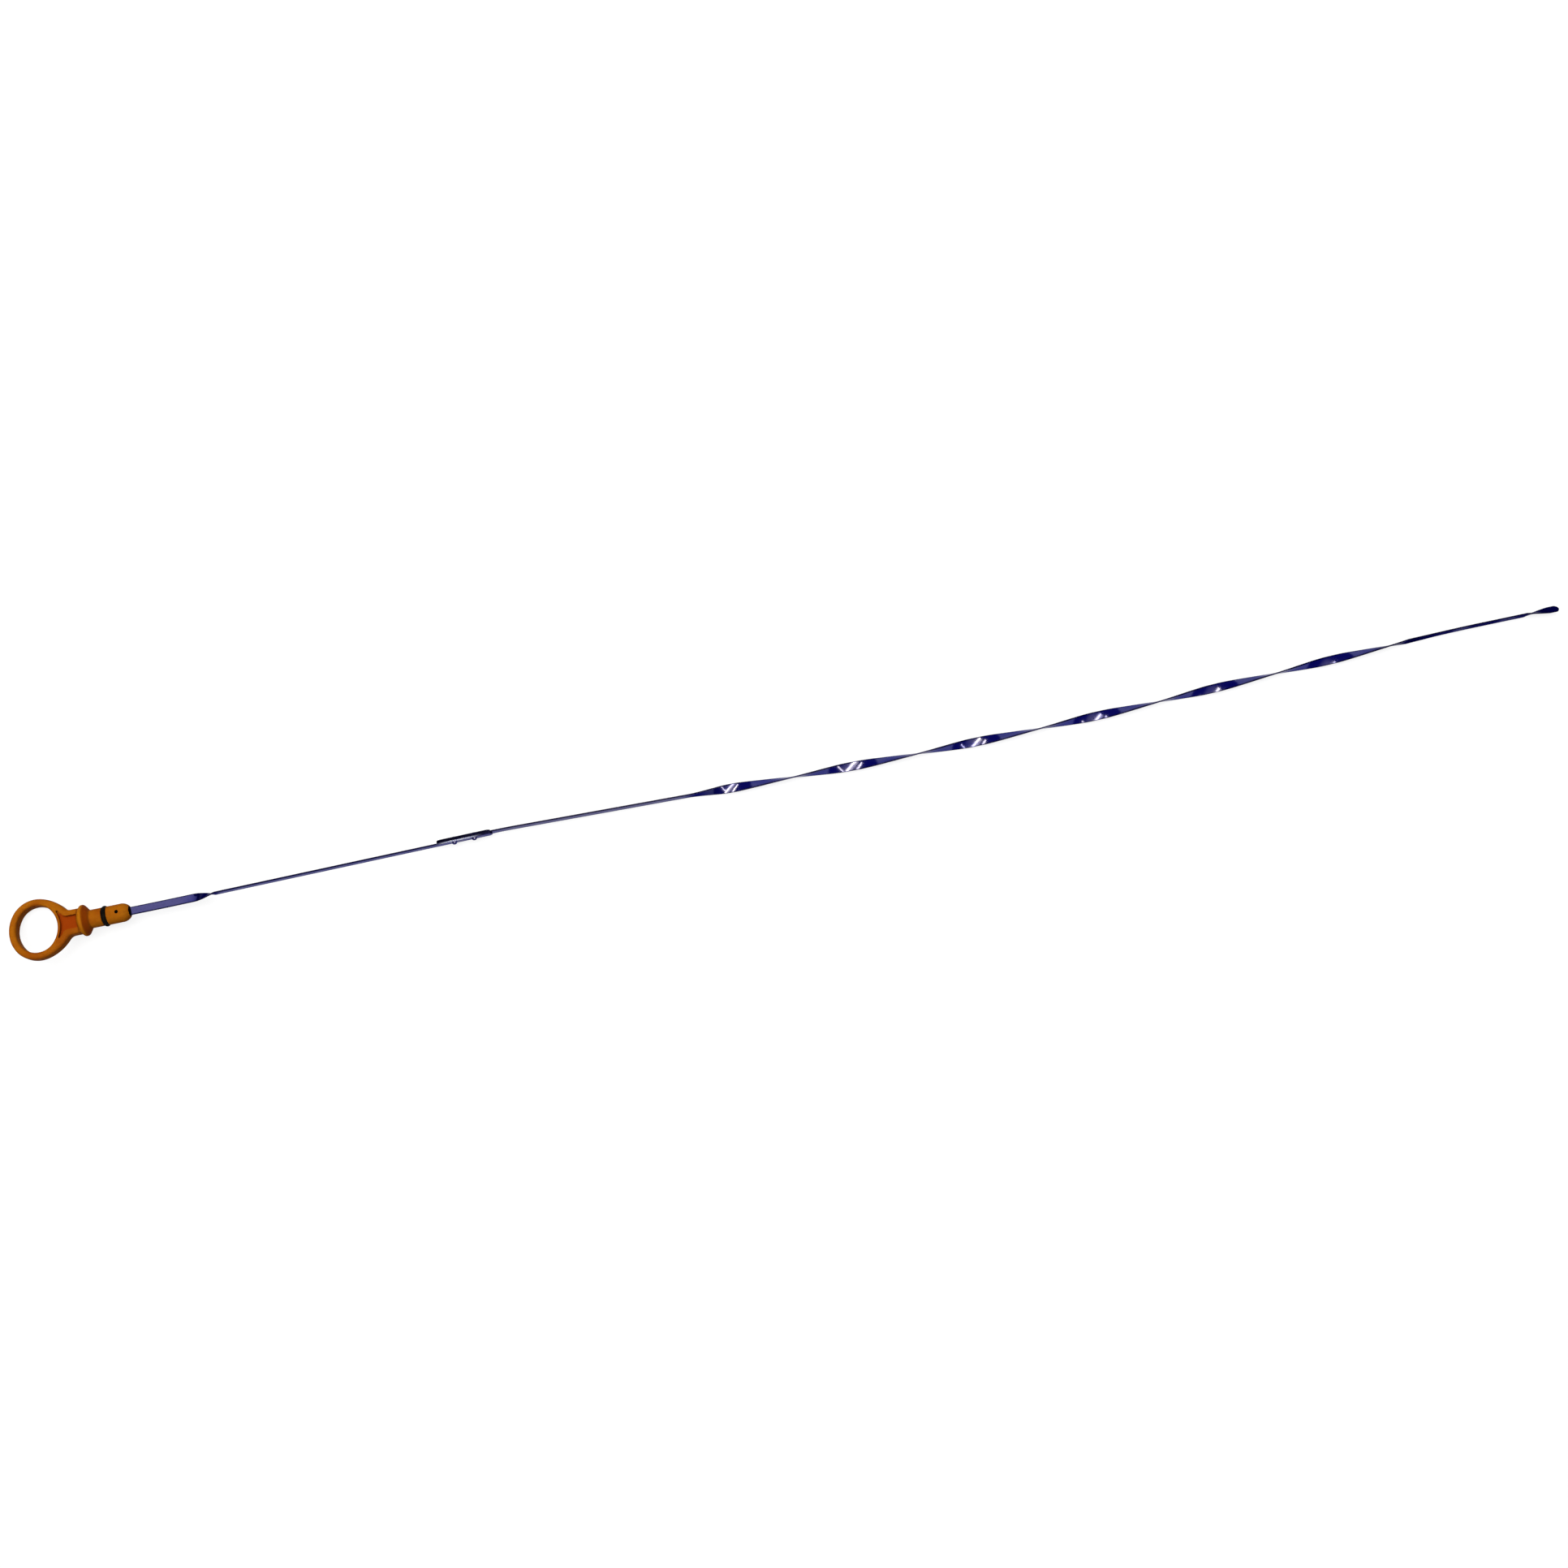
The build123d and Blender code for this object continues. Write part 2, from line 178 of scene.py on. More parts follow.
def vector_math(tree, operation, *values):
    """One step of arithmetic on vectors."""
    made = add(tree, "ShaderNodeVectorMath", dict(enumerate(values)), operation=operation)
    return made.outputs["Value" if operation in ("DOT_PRODUCT", "LENGTH") else "Vector"]


def scaled(tree, vector, by):
    """A vector times a number."""
    return add(tree, "ShaderNodeVectorMath", {0: vector, "Scale": by}, operation="SCALE").outputs[0]


def ramp_between(tree, value, low, high, to_low=0.0, to_high=1.0, kind="LINEAR"):
    """A value carried over from one range to another, and held at its ends."""
    sockets = {"Value": value, "From Min": low, "From Max": high, "To Min": to_low, "To Max": to_high}
    return add(tree, "ShaderNodeMapRange", sockets, interpolation_type=kind).outputs[0]


def soft_ramp(tree, value, low, high, to_low=0.0, to_high=1.0):
    """The same with soft ends."""
    return ramp_between(tree, value, low, high, to_low, to_high, kind="SMOOTHSTEP")


# Blades: a flat strip that follows its route and turns about it

def blade_tree():
    """Sweeps a chamfered strip along a route, rolls it as a blade turns, rounds its ends and drills it."""
    tree = bpy.data.node_groups.new("rolled_strip", "GeometryNodeTree")
    face = tree.interface
    face.new_socket("Route", in_out="INPUT", socket_type="NodeSocketGeometry")
    for label in (
        "Width", "Thickness", "Edge", "Step", "First Roll", "Lead From", "Lead To", "Lead Turn", "Gather",
        "Turns To", "Even From", "Even To", "Uneven", "Back To", "Back Turn", "Tip From", "Tip To",
        "Tip Turn", "Round Start", "Round End", "First Hole", "Hole Spacing", "Hole Radius",
    ):
        face.new_socket(label, in_out="INPUT", socket_type="NodeSocketFloat")
    face.new_socket("Hole Count", in_out="INPUT", socket_type="NodeSocketInt")
    face.new_socket("Finish", in_out="INPUT", socket_type="NodeSocketMaterial")
    face.new_socket("Strip", in_out="OUTPUT", socket_type="NodeSocketGeometry")
    size = tree.nodes.new("NodeGroupInput").outputs

    # Route with its corners rounded, cut into short steps
    corner = add(tree, "GeometryNodeInputNamedAttribute", {"Name": "round"}).outputs["Attribute"]
    line = add(tree, "GeometryNodeMeshToCurve", {"Mesh": size["Route"]}).outputs[0]
    line = add(tree, "GeometryNodeFilletCurve", {"Curve": line, "Radius": corner, "Count": CORNER_STEPS},
               mode="POLY").outputs[0]
    line = add(tree, "GeometryNodeResampleCurve", {"Curve": line, "Length": size["Step"]},
               mode="LENGTH").outputs[0]
    line = add(tree, "GeometryNodeSetCurveNormal", {"Curve": line}, mode="Z_UP").outputs[0]

    # Roll along the route: a lead-in that gathers pace, turns that go faster where the strip lies flat,
    # a spring back, then the turn of the tip
    along = add(tree, "GeometryNodeSplineParameter").outputs["Length"]
    led = ramp_between(tree, along, size["Lead From"], size["Lead To"])
    led = math_node(tree, "POWER", led, size["Gather"])
    led = math_node(tree, "MULTIPLY", size["Lead Turn"], math_node(tree, "SUBTRACT", led, 1.0))
    even = ramp_between(tree, along, size["Lead To"], size["Turns To"], size["Even From"], size["Even To"])
    swing = math_node(tree, "SINE", math_node(tree, "MULTIPLY", math_node(tree, "ADD", even, LEAN), 2.0))
    turned = math_node(tree, "SUBTRACT", even, math_node(tree, "MULTIPLY", size["Uneven"], swing))
    back = ramp_between(tree, along, size["Turns To"], size["Back To"], 0.0, size["Back Turn"])
    tip = ramp_between(tree, along, size["Tip From"], size["Tip To"], 0.0, size["Tip Turn"])
    roll = size["First Roll"]
    for share in (led, turned, back, tip):
        roll = math_node(tree, "ADD", roll, share)
    line = add(tree, "GeometryNodeSetCurveTilt", {"Curve": line, "Tilt": roll}).outputs[0]

    # What each section of the strip knows of its place
    tangent = add(tree, "GeometryNodeInputTangent").outputs[0]
    normal = add(tree, "GeometryNodeInputNormal").outputs["Normal"]
    place = add(tree, "GeometryNodeInputPosition").outputs[0]
    known = add(tree, "GeometryNodeCaptureAttribute", {"Geometry": line})
    for kind, label, value in (
        ("VECTOR", "Middle", place),
        ("FLOAT", "Along", along),
        ("VECTOR", "Across", vector_math(tree, "CROSS_PRODUCT", tangent, normal)),
    ):
        known.capture_items.new(kind, label)
        tree.links.new(value, known.inputs[label])
    total = add(tree, "GeometryNodeCurveLength", {"Curve": line}).outputs[0]

    # Section with chamfered edges and its wide sides cut up across the width, swept
    section = add(tree, "GeometryNodeCurvePrimitiveQuadrilateral",
                  {"Width": size["Thickness"], "Height": size["Width"]}).outputs[0]
    section = add(tree, "GeometryNodeFilletCurve", {"Curve": section, "Radius": size["Edge"], "Count": 1},
                  mode="POLY").outputs[0]
    corner_number = add(tree, "GeometryNodeInputIndex").outputs[0]
    wide_side = math_node(tree, "COMPARE", math_node(tree, "MODULO", corner_number, 4.0), 3.0, 0.5)
    cuts = math_node(tree, "MULTIPLY", wide_side, WIDE_SIDE_CUTS)
    section = add(tree, "GeometryNodeSubdivideCurve", {"Curve": section, "Cuts": cuts}).outputs[0]
    strip = add(tree, "GeometryNodeCurveToMesh",
                {"Curve": known.outputs["Geometry"], "Profile Curve": section, "Fill Caps": True}).outputs[0]

    # Place on the strip in millimetres, for the finish
    from_middle = vector_math(tree, "SUBTRACT", place, known.outputs["Middle"])
    aside = vector_math(tree, "DOT_PRODUCT", from_middle, known.outputs["Across"])
    on_strip = add(tree, "ShaderNodeCombineXYZ", {"X": known.outputs["Along"], "Y": aside}).outputs[0]
    strip = add(tree, "GeometryNodeStoreNamedAttribute",
                {"Geometry": strip, "Name": "strip", "Value": scaled(tree, on_strip, 1 / MM)},
                data_type="FLOAT_VECTOR").outputs[0]

    # Ends drawn in to a half circle
    keep = 1.0
    from_end = math_node(tree, "SUBTRACT", total, known.outputs["Along"])
    for from_tip, label in ((known.outputs["Along"], "Round Start"), (from_end, "Round End")):
        inward = math_node(tree, "ADD", from_tip, END_INSET * MM)
        rounding = math_node(tree, "MAXIMUM", size[label], LEAST_ROUND * MM)
        part_way = math_node(tree, "DIVIDE", inward, rounding)
        out = math_node(tree, "SUBTRACT", 1.0, part_way, clamp=True)
        half_chord = math_node(tree, "SUBTRACT", BLUNT_END, math_node(tree, "POWER", out, 2.0))
        half_chord = math_node(tree, "SQRT", half_chord)
        keep = math_node(tree, "MULTIPLY", keep, math_node(tree, "MINIMUM", half_chord, 1.0))
    draw_in = math_node(tree, "MULTIPLY", aside, math_node(tree, "SUBTRACT", keep, 1.0))
    shift = scaled(tree, known.outputs["Across"], draw_in)
    strip = add(tree, "GeometryNodeSetPosition", {"Geometry": strip, "Offset": shift}).outputs[0]

    # Holes through the wide faces
    number = add(tree, "GeometryNodeInputIndex").outputs[0]
    hole_at = math_node(tree, "MULTIPLY_ADD", number, size["Hole Spacing"], size["First Hole"])
    sample = add(tree, "GeometryNodeSampleCurve", {"Curves": line, "Length": hole_at}, mode="LENGTH",
                 use_all_curves=True).outputs
    spots = add(tree, "GeometryNodePoints",
                {"Count": size["Hole Count"], "Position": sample["Position"]}).outputs[0]
    facing = add(tree, "FunctionNodeAlignRotationToVector", {"Vector": sample["Normal"]}, axis="Z").outputs[0]
    drill_size = {"Vertices": DRILL_SIDES, "Radius": size["Hole Radius"], "Depth": DRILL_DEPTH * MM}
    drill = add(tree, "GeometryNodeMeshCylinder", drill_size).outputs["Mesh"]
    drills = add(tree, "GeometryNodeInstanceOnPoints",
                 {"Points": spots, "Instance": drill, "Rotation": facing}).outputs[0]
    drills = add(tree, "GeometryNodeRealizeInstances", {"Geometry": drills}).outputs[0]
    strip = add(tree, "GeometryNodeMeshBoolean", {"Mesh 1": strip, "Mesh 2": drills}, operation="DIFFERENCE",
                solver="EXACT").outputs[0]

    # Smooth along the turns, crisp at the edges
    strip = add(tree, "GeometryNodeSetShadeSmooth", {"Geometry": strip, "Shade Smooth": True}).outputs[0]
    bend = add(tree, "GeometryNodeInputMeshEdgeAngle").outputs["Unsigned Angle"]
    crisp = math_node(tree, "GREATER_THAN", bend, CRISP_ANGLE)
    strip = add(tree, "GeometryNodeSetShadeSmooth",
                {"Geometry": strip, "Selection": crisp, "Shade Smooth": False}, domain="EDGE").outputs[0]
    strip = add(tree, "GeometryNodeRealizeInstances", {"Geometry": strip}).outputs[0]
    strip = add(tree, "GeometryNodeSetMaterial", {"Geometry": strip, "Material": size["Finish"]}).outputs[0]
    add(tree, "NodeGroupOutput", {"Strip": strip})
    return tree


def swept_blade(name, route, tree, finish, node, slot, **sizes):
    """One blade, swept by the tree and turned into a plain mesh that stands for its CAD node."""
    mesh = bpy.data.meshes.new(name)
    links = [(i, i + 1) for i in range(len(route) - 1)]
    mesh.from_pydata([Vector(corner[:3]) * MM for corner in route], links, [])
    rounds = mesh.attributes.new("round", "FLOAT", "POINT")
    for spot, corner in zip(rounds.data, route):
        spot.value = corner[3] * MM
    blade = bpy.data.objects.new(name, mesh)
    bpy.context.scene.collection.objects.link(blade)
    sweep = blade.modifiers.new("sweep", "NODES")
    sweep.node_group = tree
    named = {item.name: item.identifier for item in tree.interface.items_tree if item.in_out == "INPUT"}
    for label, value in sizes.items():
        sweep[named[label.replace("_", " ").title()]] = value
    sweep[named["Finish"]] = finish
    bpy.context.view_layer.update()
    graph = bpy.context.evaluated_depsgraph_get()
    swept = bpy.data.meshes.new_from_object(
        blade.evaluated_get(graph), preserve_all_data_layers=True, depsgraph=graph)
    blade.modifiers.clear()
    blade.data = swept
    bpy.data.meshes.remove(mesh)
    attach(blade, "root")
    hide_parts(node)


# Finishes

# Longest fade at the ends of a run, in millimetres
LONGEST_FADE = 14.0

# Blued steel: its tints and the tints of its mirror, with the tints for painted pale reflection, painted
# shade and painted highlight
PALE_BLUE = (0.060, 0.062, 0.200)
DEEP_BLUE = (0.033, 0.036, 0.195)
PALE_REFLECTION_BLUE = (0.105, 0.102, 0.200)
DARK_BLUE_AND_SHADE = (0.004, 0.004, 0.034)
PALE_SHEEN = (0.58, 0.58, 0.70)
DARK_SHEEN = (0.28, 0.28, 0.42)
PAINTED_SHADE_EDGE = (0.0008, 0.0008, 0.0040)
PAINTED_SHADE_EDGE_SHEEN = (0.10, 0.10, 0.14)
PAINTED_HIGHLIGHT_EDGE = (0.210, 0.240, 0.520)
PAINTED_HIGHLIGHT_EDGE_SHEEN = (0.85, 0.88, 0.95)

# Blued steel: its patterns, as waves to the millimetre along, across and through the strip
PATCH_WAVES = (0.06, 0.25, 1.0)
SPECK_WAVES = (0.9, 1.4, 1.0)
DRAWN_WAVES = (0.08, 5.0, 1.0)
RELIEF_WAVES = (0.22, 0.30, 1.0)

# Amber plastic: its tints, and those for painted highlight and painted shade
AMBER = (0.320, 0.073, 0.002)
LIGHT_AMBER = (0.395, 0.118, 0.003)
MOTTLED_AMBER = (0.290, 0.058, 0.002)
THIN_AMBER = (0.315, 0.042, 0.001)
HIGHLIT_AMBER = (0.460, 0.150, 0.004)
SHADED_AMBER = (0.255, 0.034, 0.001)
CORNER_SHADE_AMBER = (0.110, 0.022, 0.001)
MOUTH_SHADE = (0.006, 0.005, 0.004)
HOLE_SHADE = (0.008, 0.005, 0.003)

# Places on the handle in millimetres, along the plug axis, across it and through the handle
WEB_THROUGH = (2.1, 1.7)
WEB_ACROSS = (6.6, 6.2)
WEB_START = (-18.0, -16.8)
WEB_END = (-5.6, -5.9)
COLLAR_RADIUS = (5.2, 5.5)
COLLAR_RIM = (-5.4, -2.2, 0.7)
COLLAR_CONE = (-3.1, 0.6, 0.75)
COLLAR_CORNERS = ((-6.0, 0.8), (0.1, 0.7))
MOUTH_RADIUS = (3.0, 2.8)
MOUTH_START = (18.2, 18.3)
LOCATING_HOLE = 15.1
LOCATING_RADIUS = (1.02, 0.96)


def finish_of(name):
    """A new material with its shader."""
    material = bpy.data.materials.new(name)
    material.use_nodes = True
    tree = material.node_tree
    shader = tree.nodes["Principled BSDF"]
    return material, tree, shader


def noise(tree, where, scale, detail=3.0, rough=0.5, stretch=None):
    """Cloudy noise, stretched where that is asked for."""
    if stretch:
        where = add(tree, "ShaderNodeMapping", {"Vector": where, "Scale": stretch}).outputs[0]
    sockets = {"Vector": where, "Scale": scale, "Detail": detail, "Roughness": rough}
    return add(tree, "ShaderNodeTexNoise", sockets).outputs["Fac"]


def mixed(tree, share, first, second):
    """A share of the second colour in the first."""
    made = add(tree, "ShaderNodeMix", {"Factor": share}, data_type="RGBA")
    for index, value in ((6, first), (7, second)):
        if isinstance(value, bpy.types.NodeSocket):
            tree.links.new(value, made.inputs[index])
        else:
            made.inputs[index].default_value = (*value, 1.0)
    return made.outputs[2]


def within(tree, value, run):
    """Share of a run, given as its start, end and most, that fades in and out softly."""
    begin, end, most = run
    fade = min(LONGEST_FADE, (end - begin) / 3)
    begun = soft_ramp(tree, value, begin, begin + fade, 0.0, most)
    return math_node(tree, "MULTIPLY", begun, soft_ramp(tree, value, end - fade, end, 1.0, 0.0))


def off_from(tree, value, middle):
    """How far a value is from a middle, to either side."""
    return math_node(tree, "ABSOLUTE", math_node(tree, "SUBTRACT", value, middle))


def relief(tree, shader, height, strength, depth):
    """Low relief, its depth in millimetres."""
    bump = add(tree, "ShaderNodeBump", {"Height": height, "Strength": strength, "Distance": depth * MM})
    tree.links.new(bump.outputs[0], shader.inputs["Normal"])


def grained(tree, shader, grain, smoothest, roughest, strength, depth):
    """Roughness and relief that follow one grain."""
    rough = ramp_between(tree, grain, 0.3, 0.7, smoothest, roughest)
    tree.links.new(rough, shader.inputs["Roughness"])
    relief(tree, shader, grain, strength, depth)


def blued_steel(name, half_width, pale_reflection_runs=(), dark_reflection_runs=(), marks=(), painted_highlight_edges=(), painted_shade_edges=()):
    """Blued spring steel: patches, specks, drawn lines, painted pale and dark reflections along runs, painted
    shade at the rims and on edges, painted highlight on edges.
    """
    material, tree, shader = finish_of(name)
    place = add(tree, "ShaderNodeAttribute", attribute_name="strip").outputs["Vector"]
    parts = add(tree, "ShaderNodeSeparateXYZ", {"Vector": place}).outputs
    patches = noise(tree, place, 1.0, 3.0, stretch=PATCH_WAVES)
    tint = mixed(tree, ramp_between(tree, patches, 0.38, 0.62), PALE_BLUE, DEEP_BLUE)
    # Painted pale reflection: the pale runs tint the steel paler and greyer
    for run in pale_reflection_runs:
        tint = mixed(tree, within(tree, parts["X"], run), tint, PALE_REFLECTION_BLUE)

    # Darkness of specks and drawn lines, and painted dark reflection along the dark runs, all lessened around
    # the marks; then painted shade along the strip's rims
    specks = noise(tree, place, 1.0, 2.0, stretch=SPECK_WAVES)
    lines = noise(tree, place, 1.0, 4.0, 0.65, stretch=DRAWN_WAVES)
    dark_and_shade = math_node(tree, "MAXIMUM", ramp_between(tree, specks, 0.46, 0.74, 0.0, 0.3),
                         ramp_between(tree, lines, 0.45, 0.8, 0.0, 0.4))
    for run in dark_reflection_runs:
        dark_and_shade = math_node(tree, "MAXIMUM", dark_and_shade, within(tree, parts["X"], run))
    for mark in marks:
        kept = soft_ramp(tree, off_from(tree, parts["X"], mark), 3.0, 8.0, 0.7, 1.0)
        dark_and_shade = math_node(tree, "MULTIPLY", dark_and_shade, kept)
    from_middle = math_node(tree, "ABSOLUTE", parts["Y"])
    rim = soft_ramp(tree, from_middle, half_width - 0.8, half_width - 0.25, 0.0, 0.92)
    dark_and_shade = math_node(tree, "MAXIMUM", dark_and_shade, rim)
    tint = mixed(tree, dark_and_shade, tint, DARK_BLUE_AND_SHADE)
    sheen = mixed(tree, dark_and_shade, PALE_SHEEN, DARK_SHEEN)

    # Painted shade: edges near the lap painted near-black; painted highlight: edges at the lap painted bright
    on_edge = ramp_between(tree, from_middle, half_width - 0.16, half_width - 0.10)
    for runs, edge_tint, edge_sheen in (
        (painted_shade_edges, PAINTED_SHADE_EDGE, PAINTED_SHADE_EDGE_SHEEN),
        (painted_highlight_edges, PAINTED_HIGHLIGHT_EDGE, PAINTED_HIGHLIGHT_EDGE_SHEEN),
    ):
        for run in runs:
            broken = ramp_between(tree, patches, 0.64, 0.46, 0.6, 1.0)
            share = product(tree, within(tree, parts["X"], run), product(tree, on_edge, broken))
            tint = mixed(tree, share, tint, edge_tint)
            sheen = mixed(tree, share, sheen, edge_sheen)
    tree.links.new(tint, shader.inputs["Base Color"])
    tree.links.new(sheen, shader.inputs["Specular Tint"])
    shader.inputs["Metallic"].default_value = 1.0
    rough = ramp_between(tree, lines, 0.3, 0.75, 0.10, 0.18)
    edge_rough = ramp_between(tree, from_middle, half_width - 0.2, half_width - 0.1, 0.0, 0.3)
    tree.links.new(math_node(tree, "ADD", rough, edge_rough), shader.inputs["Roughness"])
    relief(tree, shader, noise(tree, place, 1.0, 1.0, stretch=RELIEF_WAVES), 0.5, 0.07)
    return material


def amber_plastic(name):
    """Moulded amber plastic: satin grain, faint flow marks, redder thin web, painted highlight on the collar
    rim, painted shade on its cone, in its corners, in the mouth and in the hole.
    """
    material, tree, shader = finish_of(name)
    place = add(tree, "ShaderNodeTexCoord").outputs["Object"]
    square = add(tree, "ShaderNodeMapping", {"Vector": place, "Rotation": (-LEAN, 0.0, 0.0),
                                             "Scale": (1 / MM, 1 / MM, 1 / MM)}).outputs[0]
    parts = add(tree, "ShaderNodeSeparateXYZ", {"Vector": square}).outputs
    flow = noise(tree, square, 0.09, 2.0)
    tint = mixed(tree, ramp_between(tree, flow, 0.36, 0.62), AMBER, LIGHT_AMBER)
    mottle = noise(tree, square, 0.7, 2.0)
    tint = mixed(tree, ramp_between(tree, mottle, 0.45, 0.75, 0.0, 0.35), tint, MOTTLED_AMBER)

    # Thin web between the panels, which lets the colour deepen
    through = math_node(tree, "ABSOLUTE", parts["Z"])
    aside = math_node(tree, "ABSOLUTE", parts["Y"])
    web = product(tree, ramp_between(tree, through, *WEB_THROUGH), ramp_between(tree, aside, *WEB_ACROSS),
                  ramp_between(tree, parts["X"], *WEB_START), ramp_between(tree, parts["X"], *WEB_END))
    tint = mixed(tree, web, tint, THIN_AMBER)

    # Painted highlight: rim of the collar painted paler; painted shade: its cone painted darker
    radius = distance(tree, parts["Y"], parts["Z"])
    outer = ramp_between(tree, radius, *COLLAR_RADIUS)
    for run, shade in ((COLLAR_RIM, HIGHLIT_AMBER), (COLLAR_CONE, SHADED_AMBER)):
        tint = mixed(tree, product(tree, within(tree, parts["X"], run), outer), tint, shade)

    # Painted shade in the corners where the collar meets the neck and the stem
    for corner, reach in COLLAR_CORNERS:
        corner_shade = soft_ramp(tree, off_from(tree, parts["X"], corner), reach, 0.0, 0.0, 0.6)
        tint = mixed(tree, corner_shade, tint, CORNER_SHADE_AMBER)

    # Painted shade: mouth of the nose and locating hole painted dark
    mouth_shade = product(tree, ramp_between(tree, radius, *MOUTH_RADIUS),
                    ramp_between(tree, parts["X"], *MOUTH_START))
    tint = mixed(tree, mouth_shade, tint, MOUTH_SHADE)
    from_hole = math_node(tree, "SUBTRACT", parts["X"], LOCATING_HOLE)
    hole = distance(tree, from_hole, parts["Y"])
    tint = mixed(tree, ramp_between(tree, hole, *LOCATING_RADIUS), tint, HOLE_SHADE)
    tree.links.new(tint, shader.inputs["Base Color"])
    grained(tree, shader, noise(tree, square, 5.0, 3.0, 0.6), 0.52, 0.66, 0.25, 0.02)
    shader.inputs["IOR"].default_value = 1.5
    shader.inputs["Specular IOR Level"].default_value = 0.02
    return material


def seal_rubber(name):
    """Dull black rubber with a fine grain."""
    material, tree, shader = finish_of(name)
    place = add(tree, "ShaderNodeTexCoord").outputs["Object"]
    cloudy = noise(tree, place, 0.5 / MM, 3.0)
    tint = mixed(tree, ramp_between(tree, cloudy, 0.4, 0.7), (0.0020, 0.0018, 0.0018),
                 (0.0050, 0.0042, 0.0042))
    tree.links.new(tint, shader.inputs["Base Color"])
    grained(tree, shader, noise(tree, place, 9 / MM, 2.0), 0.55, 0.8, 0.2, 0.01)
    shader.inputs["Specular IOR Level"].default_value = 0.03
    return material


def rivet_steel(name):
    """Blued rivets, polished by the setting tool, with dull patches."""
    material, tree, shader = finish_of(name)
    place = add(tree, "ShaderNodeTexCoord").outputs["Object"]
    cloudy = noise(tree, place, 0.9 / MM, 3.0)
    tint = mixed(tree, ramp_between(tree, cloudy, 0.35, 0.7), (0.060, 0.060, 0.20), (0.020, 0.020, 0.09))
    tree.links.new(tint, shader.inputs["Base Color"])
    shader.inputs["Metallic"].default_value = 1.0
    grained(tree, shader, cloudy, 0.08, 0.2, 0.08, 0.02)
    return material


# Runs along each blade in millimetres, as start, end and most
# The pale and dark runs are painted reflection, the edge runs painted shade and painted highlight
upper_finish = blued_steel(
    "upper_blade_blued", UPPER_WIDTH / 2,
    pale_reflection_runs=((0.0, 56.0, 0.9), (193.0, 203.0, 1.0)),
    dark_reflection_runs=((48.5, 68.0, 0.9),),
    painted_highlight_edges=((184.0, 212.0, 0.95),),
)
lower_finish = blued_steel(
    "lower_blade_blued", LOWER_WIDTH / 2,
    pale_reflection_runs=((28.0, 148.0, 0.9),),
    dark_reflection_runs=((-20.0, 34.0, 0.85), (138.0, 168.0, 0.6), (566.0, 740.0, 0.96)),
    marks=(FIRST_MARK, FIRST_MARK + MARK_SPACING),
    painted_shade_edges=((-30.0, 16.0, 1.0), (-30.0, 38.0, 0.75)),
)
for node, finish in (
    ("handle", amber_plastic("amber_moulding")),
    ("o_ring", seal_rubber("seal_black")),
    ("lap_rivets", rivet_steel("rivets_blued")),
):
    frame["nodes"][node].material_slots[0].material = finish


# The two blades, and the end of the lower one that is folded back over the lap

def even_turn(along):
    """Roll that an even twist would have at a distance along the lower blade."""
    return math.radians(-90 - 360 * (along - FIRST_FLAT) / TURN_LENGTH) - LEAN


rolled_strip = blade_tree()
fineness = dict(edge=EDGE_CHAMFER * MM, step=SWEEP_STEP * MM)
upper_stock = dict(fineness, width=UPPER_WIDTH * MM, thickness=UPPER_THICKNESS * MM)
lower_stock = dict(fineness, width=LOWER_WIDTH * MM, thickness=LOWER_THICKNESS * MM)
both_ends_round = dict(round_start=LOWER_WIDTH / 2 * MM, round_end=LOWER_WIDTH / 2 * MM)
no_turn = dict(lead_from=0.0, lead_to=1.0, lead_turn=0.0, gather=1.0, turns_to=2.0, even_from=0.0,
               even_to=0.0, uneven=0.0, back_to=3.0, back_turn=0.0, tip_from=3.0, tip_to=4.0, tip_turn=0.0)
no_hole = dict(first_hole=0.0, hole_spacing=0.0, hole_radius=MARK_RADIUS * MM, hole_count=0)
quarter_turn = dict(no_turn, lead_from=QUARTER_START * MM, lead_to=QUARTER_END * MM, lead_turn=QUARTER_TURN,
                    even_from=QUARTER_TURN, even_to=QUARTER_TURN)
swept_blade(
    "upper_blade_strip", UPPER_ROUTE, rolled_strip, upper_finish, "upper_blade", "upper_blade_steel",
    **upper_stock, **quarter_turn,
    first_roll=LEAN + math.radians(90), round_start=0.0, round_end=UPPER_WIDTH / 2 * MM,
    first_hole=ROOT_HOLE * MM, hole_spacing=0.0, hole_radius=ROOT_HOLE_RADIUS * MM, hole_count=1,
)
led = even_turn(TURNS_START)
swept_blade(
    "lower_blade_strip", LOWER_ROUTE, rolled_strip, lower_finish, "lower_blade", "lower_blade_steel",
    **lower_stock, **both_ends_round,
    first_roll=LEAN, lead_from=TWIST_START * MM, lead_to=TURNS_START * MM,
    lead_turn=led - math.radians(TURN_LEAD) * math.sin(2 * (led + LEAN)), gather=LEAD_IN_GATHER,
    turns_to=TURNS_END * MM, even_from=led, even_to=even_turn(TURNS_END), uneven=math.radians(TURN_LEAD),
    back_to=MEASURING_START * MM, back_turn=math.radians(SPRING_BACK),
    tip_from=MEASURING_END * MM, tip_to=TIP_START * MM, tip_turn=math.radians(TIP_TURN),
    first_hole=FIRST_MARK * MM, hole_spacing=MARK_SPACING * MM, hole_radius=MARK_RADIUS * MM, hole_count=2,
)
swept_blade(
    "lower_blade_fold", FOLD_ROUTE, rolled_strip, lower_finish, "lower_blade", "lower_blade_steel",
    **lower_stock, **both_ends_round, **no_turn, **no_hole, first_roll=LEAN,
)


# Studio: a pale floor, a low white backdrop, a dim blue room with a glow above, lamps

WHITE = (1.0, 1.0, 1.0)

# Floor, in metres: its white rises to full with distance, so that it meets the backdrop without a line
HALF_FLOOR = 6.0
FLOOR_GREY = (0.25, 0.25, 0.25)
FLOOR_WHITENS = (1.0, 3.2)
NEAR_WHITE = 0.85

